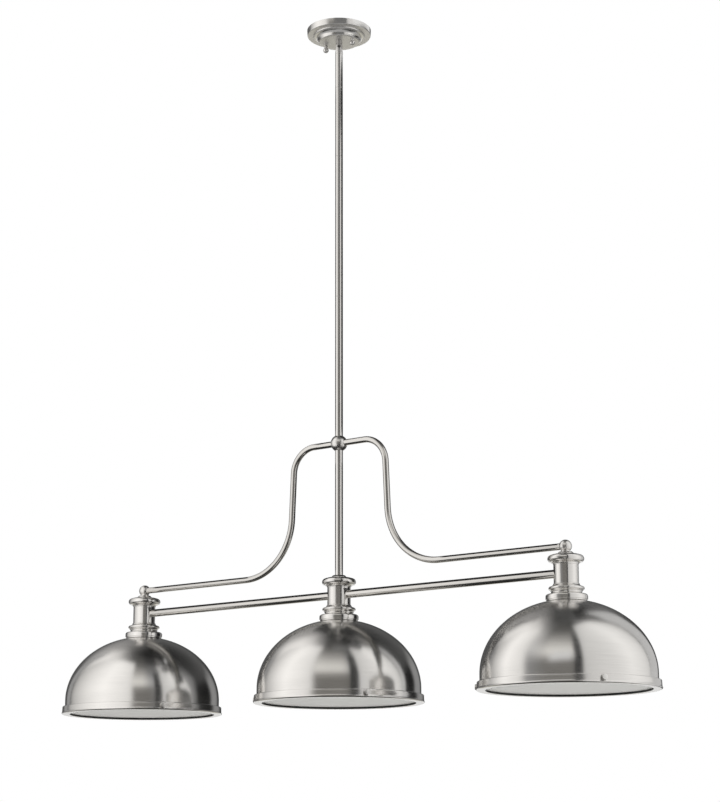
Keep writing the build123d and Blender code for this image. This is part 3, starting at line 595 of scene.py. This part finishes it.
def card(name, corners, glow, soft_u, soft_v, across=((0.0, 1.0), (1.0, 1.0)), upward=((0.0, 1.0), (1.0, 1.0)), tint=(1.0, 1.0, 1.0), crest=None, one_sided=False):
    """Lit card with soft edges. Corners: lower first, lower second, upper second, upper first; u runs from first to second. crest cuts the top edge down along u."""
    n = 12
    verts, faces, uvs = [], [], []
    a, b, c2, d2 = (spot(*q) for q in corners)
    for j in range(n + 1):
        for i in range(n + 1):
            verts.append(a.lerp(b, i / n).lerp(d2.lerp(c2, i / n), j / n))
    for j in range(n):
        for i in range(n):
            k = j * (n + 1) + i
            faces.append([k, k + 1, k + n + 2, k + n + 1])
            uvs.append([(i / n, j / n), ((i + 1) / n, j / n), ((i + 1) / n, (j + 1) / n), (i / n, (j + 1) / n)])
    m, nt = new_material(name + "_glow")
    uv = add(nt, "ShaderNodeSeparateXYZ", {0: add(nt, "ShaderNodeUVMap", uv_map="UVMap").outputs[0]})
    eu = ramp(nt, uv.outputs[0], [(0.0, 0.0), (soft_u[0], 1.0), (1.0 - soft_u[1], 1.0), (1.0, 0.0)], "EASE")
    rise = uv.outputs[1]
    if crest:
        rise = math_node(nt, "DIVIDE", rise, ramp(nt, uv.outputs[0], list(crest)))
    ev = ramp(nt, rise, [(0.0, 0.0), (soft_v[0], 1.0), (1.0 - soft_v[1], 1.0), (1.0, 0.0)], "EASE")
    cover = math_node(nt, "MULTIPLY", eu, ev)
    if one_sided:
        cover = math_node(nt, "MULTIPLY", cover, math_node(nt, "SUBTRACT", 1.0, add(nt, "ShaderNodeNewGeometry").outputs["Backfacing"]))
    gu = ramp(nt, uv.outputs[0], list(across))
    gv = ramp(nt, uv.outputs[1], list(upward))
    power = math_node(nt, "MULTIPLY", math_node(nt, "MULTIPLY", gu, gv), glow)
    shine = add(nt, "ShaderNodeEmission", {"Color": (*tint, 1.0), "Strength": power}).outputs[0]
    clear = add(nt, "ShaderNodeBsdfTransparent").outputs[0]
    mixed = add(nt, "ShaderNodeMixShader", {0: cover, 1: clear, 2: shine}).outputs[0]
    add(nt, "ShaderNodeOutputMaterial", {"Surface": mixed})
    me = bpy.data.meshes.new(name)
    me.from_pydata([tuple(v) for v in verts], [], faces)
    layer = me.uv_layers.new(name="UVMap")
    layer.data.foreach_set("uv", [q for f in uvs for w in f for q in w])
    me.materials.append(m)
    ob = bpy.data.objects.new(name, me)
    scene.collection.objects.link(ob)
    ob.visible_camera = False
    ob.visible_shadow = False
    return ob


# long soft wall on the left: brightest a pace from its near edge, fading away behind
def left_wall(s, h, lean=0.0):
    return (0.85 - 0.707 * s - 0.707 * lean, -0.62 - 0.707 * s + 0.707 * lean, h)


card("card_left", [left_wall(-0.22, -0.45), left_wall(7.0, -0.45), left_wall(7.0, 3.00), left_wall(0.06, 3.00)], 1.20, (0.034, 0.02), (0.06, 0.12),
     across=((0.0, 0.62), (0.03, 0.74), (0.055, 0.83), (0.10, 0.93), (0.13, 1.0), (0.21, 0.82), (0.26, 0.71), (0.35, 0.58), (0.66, 0.36), (1.0, 0.28)),
     upward=((0.0, 0.85), (0.2, 1.0), (0.7, 1.0), (1.0, 0.9)), tint=(1.0, 0.985, 0.965))
# card on the right, taller; its far edge leans forward with height
card("card_right", [(1.16, 0.545, -0.70), (-0.20, 1.38, -0.70), (0.22, 1.16, 2.40), (1.12, 0.57, 3.60)], 1.06, (0.04, 0.06), (0.10, 0.06),
     across=((0.0, 0.66), (0.12, 0.70), (0.25, 0.76), (0.36, 0.82), (0.52, 1.0), (0.72, 0.86), (1.0, 0.66)),
     upward=((0.0, 0.85), (0.3, 1.0), (1.0, 1.0)), tint=(1.0, 0.99, 0.975))
# narrow card beside the right-hand shade, set edge-on to the others
card("card_fill", [(-0.04, 1.27, -0.60), (-0.08, 0.70, -0.60), (-0.08, 0.70, 1.70), (-0.04, 1.27, 1.70)], 0.58, (0.05, 0.14), (0.10, 0.20))
# black flags: one in front on the right, one beside the long rod
card("flag_front", [(1.62, 0.395, -0.80), (1.50, 0.80, -0.80), (1.50, 0.80, 3.20), (1.62, 0.395, 3.20)], 0.03, (0.15, 0.15), (0.05, 0.30))
for name, corners in (
    ("flag_rod_right", [(-0.115, 0.050, 0.55), (0.055, 0.100, 0.55), (0.055, 0.100, 1.33), (-0.115, 0.050, 1.33)]),
    ("flag_rod_left", [(-0.012, -0.100, 0.55), (-0.110, -0.015, 0.55), (-0.110, -0.015, 1.33), (-0.012, -0.100, 1.33)]),
    ("flag_low_right", [(-0.115, 0.050, 0.27), (0.030, 0.100, 0.27), (0.030, 0.100, 0.50), (-0.115, 0.050, 0.50)]),
    ("flag_low_left", [(-0.012, -0.100, 0.27), (-0.110, -0.015, 0.27), (-0.110, -0.015, 0.50), (-0.012, -0.100, 0.50)]),
):
    flag = card(name, corners, 0.03, (0.10, 0.10), (0.03, 0.04), one_sided=True)
    flag.visible_diffuse = False
# small card up beside the canopy
card("card_canopy", [(0.42, 0.48, 1.50), (-0.45, 0.36, 1.50), (-0.45, 0.36, 2.05), (0.42, 0.48, 2.05)], 0.95, (0.10, 0.15), (0.10, 0.10))
# dark card under it, so that the shades do not see it
cover_up = card("flag_high", [(0.56, 0.27, 1.46), (-0.58, 0.22, 1.46), (-0.58, 0.52, 1.46), (0.56, 0.64, 1.46)], 0.07, (0.06, 0.06), (0.10, 0.06))
cover_up.visible_diffuse = False
shadow = card("flag_canopy", [(0.55, -0.20, 1.02), (0.55, 0.25, 1.02), (0.55, 0.25, 1.95), (0.55, -0.20, 1.95)], 0.18, (0.12, 0.12), (0.15, 0.10))
shadow.visible_diffuse = False
# pale card lying under the canopy, lit on top only
low_card = card("card_under_canopy", [(1.40, -1.10, 0.78), (1.40, 1.10, 0.78), (-0.70, 1.10, 0.78), (-0.70, -1.10, 0.78)], 0.42, (0.15, 0.15), (0.15, 0.10), one_sided=True)
low_card.visible_diffuse = False
# small card close in front of the right-hand shade
patch = card("card_patch", [(0.60, 0.25, 0.060), (0.60, 0.43, 0.060), (0.60, 0.43, 0.155), (0.60, 0.25, 0.155)], 0.78, (0.35, 0.30), (0.40, 0.40))
patch.visible_diffuse = False


# narrow card behind the left-hand shade's edge, and a narrow flag behind the right-hand shade's edge
edge_card = card("card_edge", [(-0.479, -0.861, -0.30), (-0.568, -0.770, -0.30), (-0.568, -0.770, 0.80), (-0.479, -0.861, 0.80)], 0.34, (0.15, 0.12), (0.10, 0.30))
edge_card.visible_diffuse = False
edge_flag = card("flag_edge", [(0.049, 0.632, -0.20), (-0.083, 0.808, -0.20), (-0.083, 0.808, 0.50), (0.049, 0.632, 0.50)], 0.02, (0.10, 0.15), (0.05, 0.20), one_sided=True)
edge_flag.visible_diffuse = False


# black strips just above the bars, seen from below only
def over_bar(x, y, h):
    return (x * TO_CAM[0] + y * TO_CAM[1], x * TO_RIGHT[0] + y * TO_RIGHT[1], h)


for side, x0, x1 in (("left", -0.500, -0.024), ("right", 0.024, 0.500)):
    strip = card("flag_bar_" + side, [over_bar(x0, 0.024, 0.2265), over_bar(x1, 0.024, 0.2265), over_bar(x1, -0.016, 0.2265), over_bar(x0, -0.016, 0.2265)],
                 0.02, (0.02, 0.02), (0.05, 0.06), one_sided=True)
    strip.visible_diffuse = False
for side, x0, x1 in (("left", -0.505, -0.235), ("right", 0.235, 0.505)):
    strip = card("flag_arm_" + side, [over_bar(x0, 0.022, 0.2745), over_bar(x1, 0.022, 0.2745), over_bar(x1, -0.014, 0.2745), over_bar(x0, -0.014, 0.2745)],
                 0.02, (0.06, 0.02), (0.05, 0.06), one_sided=True)
    strip.visible_diffuse = False

world = bpy.data.worlds.new("studio")
scene.world = world
world.use_nodes = True
wt = world.node_tree
wt.nodes.clear()
d = add(wt, "ShaderNodeTexCoord").outputs["Generated"]
fc = add(wt, "ShaderNodeVectorMath", {0: d, 1: TO_CAM}, operation="DOT_PRODUCT").outputs["Value"]
fr = add(wt, "ShaderNodeVectorMath", {0: d, 1: TO_RIGHT}, operation="DOT_PRODUCT").outputs["Value"]
up = add(wt, "ShaderNodeSeparateXYZ", {0: d}).outputs[2]
turn = math_node(wt, "MULTIPLY_ADD", math_node(wt, "ARCTAN2", fr, fc), 1 / (2 * math.pi), 0.5)
lift = math_node(wt, "MULTIPLY_ADD", math_node(wt, "ARCSINE", up), 1 / math.pi, 0.5)


def at(deg):
    return deg / 360.0 + 0.5


def el(deg):
    return deg / 180.0 + 0.5


# low part of the walls, upper part, and the share of the upper part by height
low = ramp(wt, turn, [
    (at(-180), 0.10), (at(-150), 0.09), (at(-134), 0.12), (at(-60), 0.30), (at(-34), (0.195, 0.187, 0.175)),
    (at(14), (0.195, 0.187, 0.175)), (at(32), 0.26), (at(90), 0.26), (at(98), 0.02), (at(127), 0.01), (at(136), 0.33),
    (at(152), 0.30), (at(162), 0.05), (at(180), 0.06),
])
high = ramp(wt, turn, [
    (at(-180), 0.12), (at(-150), 0.14), (at(-110), 0.24), (at(-60), 0.50), (at(-34), (0.92, 0.90, 0.86)), (at(5), (0.90, 0.88, 0.84)),
    (at(18), 0.50), (at(34), 0.40), (at(92), 0.25), (at(105), 0.06), (at(150), 0.10), (at(180), 0.12),
])
share = ramp(wt, lift, [(el(-90), 0.0), (el(18), 0.0), (el(27), 1.0), (el(90), 1.0)])
wall = add(wt, "ShaderNodeMix", {0: share, 6: low, 7: high}, data_type="RGBA").outputs[2]
fade = ramp(wt, lift, [(el(-90), 0.10), (el(-30), 0.20), (el(-8), 0.9), (el(33), 1.0), (el(46), 0.60), (el(58), 0.30), (el(70), 0.10), (el(90), 0.07)])
sides = add(wt, "ShaderNodeMix", {0: 1.0, 6: wall, 7: fade}, data_type="RGBA", blend_type="MULTIPLY").outputs[2]
# glow high up behind on the left
veil = ramp(wt, turn, [
    (at(-180), 0.05), (at(-168), 0.16), (at(-158), 0.20), (at(-147), 0.32), (at(-136), 0.66), (at(-122), 1.0), (at(-92), 1.0),
    (at(-76), 0.75), (at(-58), 0.35), (at(-44), 0.0), (at(180), 0.0),
])
reach = ramp(wt, lift, [(el(-90), 0.0), (el(22), 0.0), (el(30), 0.50), (el(40), 1.0), (el(56), 1.0), (el(65), 0.72), (el(72), 0.30), (el(79), 0.06), (el(90), 0.0)])
glow_back = add(wt, "ShaderNodeMix", {0: math_node(wt, "MULTIPLY", veil, reach), 6: sides, 7: (1.04, 1.02, 1.0, 1.0)}, data_type="RGBA").outputs[2]
# pale ground below the horizon, to the sides behind
ground = math_node(wt, "MULTIPLY",
                   ramp(wt, turn, [(at(-180), 0.0), (at(-152), 0.4), (at(-140), 1.0), (at(-118), 1.0), (at(-105), 0.0), (at(86), 0.0), (at(99), 1.0), (at(140), 1.0), (at(152), 0.4), (at(180), 0.0)]),
                   ramp(wt, lift, [(el(-90), 0.0), (el(-48), 0.0), (el(-36), 1.0), (el(-15), 1.0), (el(-6), 0.0), (el(90), 0.0)]))
sides = add(wt, "ShaderNodeMix", {0: ground, 6: glow_back, 7: (0.42, 0.41, 0.38, 1.0)}, data_type="RGBA").outputs[2]
# white sweep below the horizon, behind the light
behind = ramp(wt, turn, [(at(-180), 1.0), (at(-166), 1.0), (at(-150), 0.0), (at(150), 0.0), (at(166), 1.0), (at(180), 1.0)])
sweep = ramp(wt, lift, [(el(-90), 0.0), (el(-42), 0.0), (el(-32), 1.0), (el(-4), 1.0), (el(-1.5), 0.0), (el(90), 0.0)])
paper = ramp(wt, lift, [(el(-90), (0.66, 0.64, 0.555)), (el(-19), (0.66, 0.64, 0.555)), (el(-11), 0.92), (el(90), 0.92)])
studio = add(wt, "ShaderNodeMix", {0: math_node(wt, "MULTIPLY", behind, sweep), 6: sides, 7: paper}, data_type="RGBA").outputs[2]
lit = add(wt, "ShaderNodeBackground", {"Color": studio, "Strength": 1.0}).outputs[0]
white = add(wt, "ShaderNodeBackground", {"Color": (1.0, 1.0, 1.0, 1.0), "Strength": 1.0}).outputs[0]
seen = add(wt, "ShaderNodeLightPath").outputs["Is Camera Ray"]
mixed = add(wt, "ShaderNodeMixShader", {0: seen, 1: lit, 2: white}).outputs[0]
add(wt, "ShaderNodeOutputWorld", {"Surface": mixed})

under = bpy.data.lights.new("floor_wash", "AREA")
under.shape = "DISK"
under.size = 4.0
under.energy = 34.0
ob = bpy.data.objects.new("floor_wash", under)
ob.location = (0.0, 0.0, -2.3)
ob.visible_glossy = False
scene.collection.objects.link(ob)

# ------------------------------------------------------------------ camera
PSI, PITCH_UP, ROLL, FOCAL = -0.6332, 0.2271, -0.0023, 1966.1
T = Vector((-0.0426, 3.8908, 0.2902))
c, s = math.cos(PSI), math.sin(PSI)
place = Vector((-(c * T.x + s * T.y), -(-s * T.x + c * T.y), -T.z - DROP * MM))
level, right, upv = Vector((s, c, 0.0)), Vector((c, -s, 0.0)), Vector((0.0, 0.0, 1.0))
fwd = level * math.cos(PITCH_UP) + upv * math.sin(PITCH_UP)
top = upv * math.cos(PITCH_UP) - level * math.sin(PITCH_UP)
rr = right * math.cos(ROLL) + top * math.sin(ROLL)
tt = top * math.cos(ROLL) - right * math.sin(ROLL)
cam_data = bpy.data.cameras.new("camera")
cam_data.sensor_fit = "VERTICAL"
cam_data.sensor_height = 36.0
cam_data.lens = FOCAL / 802.0 * 36.0
cam_data.clip_end = 100.0
cam = bpy.data.objects.new("camera", cam_data)
scene.collection.objects.link(cam)
m = Matrix((rr, tt, -fwd)).transposed().to_4x4()
m.translation = place
cam.matrix_world = m
scene.camera = cam

scene.view_settings.view_transform = "Standard"
scene.view_settings.look = "None"
scene.view_settings.exposure = 0.0
scene.view_settings.gamma = 1.0

bpy.context.view_layer.update()
